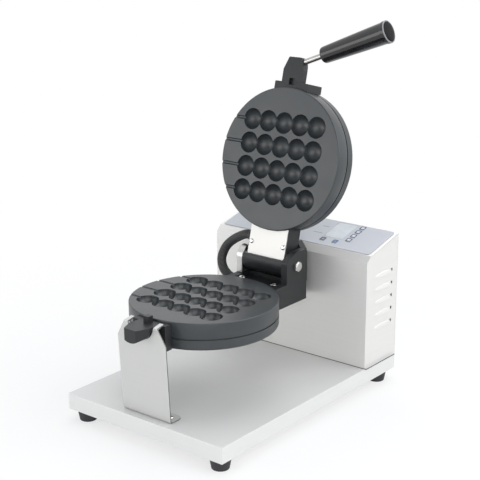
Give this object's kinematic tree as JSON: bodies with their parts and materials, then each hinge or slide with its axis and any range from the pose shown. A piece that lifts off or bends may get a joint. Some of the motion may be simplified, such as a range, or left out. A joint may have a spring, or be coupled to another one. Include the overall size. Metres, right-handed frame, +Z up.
{
  "type": "waffle stick maker",
  "caption": "Countertop waffle stick maker: round hinged cast pans with rows of half-ball cavities, turning on a shaft between a front cradle and a rear control housing.",
  "frame": {"origin": "centre of the bounding box's bottom face, on the floor under the feet", "axes": "+Z up, +X to the operator's right as they face the machine, +Y from the front edge to the rear housing"},
  "size_m": [0.262, 0.396, 0.4847],
  "materials": {
    "stainless_sheet": "fine satin brushed stainless sheet",
    "polished_steel": "bright polished steel",
    "zinc_steel": "dull zinc-plated steel",
    "coated_casting": "cast aluminium under a dark grey non-stick coating",
    "element_alloy": "heat-darkened tubular element sheath",
    "black_grip": "glossy black moulded plastic",
    "black_gland": "satin black nylon",
    "foot_rubber": "matte black rubber",
    "conduit_rubber": "black sleeving over the heater leads",
    "membrane_film": "printed satin film, pale lavender grey",
    "display_lens": "glossy grey display lens",
    "display_body": "black moulded display body",
    "circuit_board": "green solder mask",
    "insulator": "cream moulded insulator",
    "varnished_core": "varnished steel laminations and windings",
    "bearing_bronze": "plain machined bearing bronze"
  },
  "bodies": {
    "stand": {"base_tray": "stainless_sheet", "foot_front_left": "foot_rubber", "foot_front_right": "foot_rubber", "foot_rear_left": "foot_rubber", "foot_rear_right": "foot_rubber", "foot_screw_front_left": "zinc_steel", "foot_screw_front_right": "zinc_steel", "foot_screw_rear_left": "zinc_steel", "foot_screw_rear_right": "zinc_steel", "cradle_bracket": "stainless_sheet", "cradle_screw_left": "polished_steel", "cradle_screw_right": "polished_steel", "housing_shell": "stainless_sheet", "rear_cover": "stainless_sheet", "cable_gland": "black_gland", "cable_gland_nut": "black_gland", "terminal_block": "insulator", "transformer": "varnished_core", "inner_loom": "conduit_rubber", "shaft_bearing": "bearing_bronze", "friction_washer": "bearing_bronze", "top_panel": "stainless_sheet", "control_overlay": "membrane_film", "display_window": "display_lens", "display_module": "display_body", "control_board": "circuit_board"},
    "pans": {"lower_mould_plate": "coated_casting", "lower_heater_cover": "coated_casting", "lower_heating_element": "element_alloy", "lower_element_clamp": "zinc_steel", "lower_front_lug": "coated_casting", "lower_yoke": "coated_casting", "yoke_screw_left": "polished_steel", "yoke_screw_right": "polished_steel", "left_hinge_ear": "polished_steel", "hinge_pin": "polished_steel", "hinge_pin_nut": "polished_steel", "hinge_washer_left": "zinc_steel", "hinge_washer_right": "zinc_steel", "flip_shaft": "polished_steel", "shaft_collar": "polished_steel", "yoke_conduit_gland": "black_gland", "flexible_conduit": "conduit_rubber"},
    "lid": {"upper_mould_plate": "coated_casting", "upper_heater_cover": "coated_casting", "upper_heating_element": "element_alloy", "upper_element_clamp": "zinc_steel", "upper_front_lug": "coated_casting", "lid_neck": "coated_casting", "neck_cover_plate": "stainless_sheet", "neck_plate_screw_left": "polished_steel", "neck_plate_screw_right": "polished_steel", "lid_conduit_gland": "black_gland", "handle_rod": "polished_steel", "handle_grip": "black_grip", "grip_end_cap": "black_grip"}
  },
  "joints": [
    {"name": "pan_flip", "type": "hinge", "parent": "stand", "child": "pans", "pos_m": [-0.00321, 0.1165, 0.15626], "axis": [0, 1, 0], "range_deg": [-40, 40]},
    {"name": "lid_hinge", "type": "hinge", "parent": "pans", "child": "lid", "pos_m": [-0.00321, 0.06702, 0.17177], "axis": [1, 0, 0], "range_deg": [0, 104.5]}
  ]
}
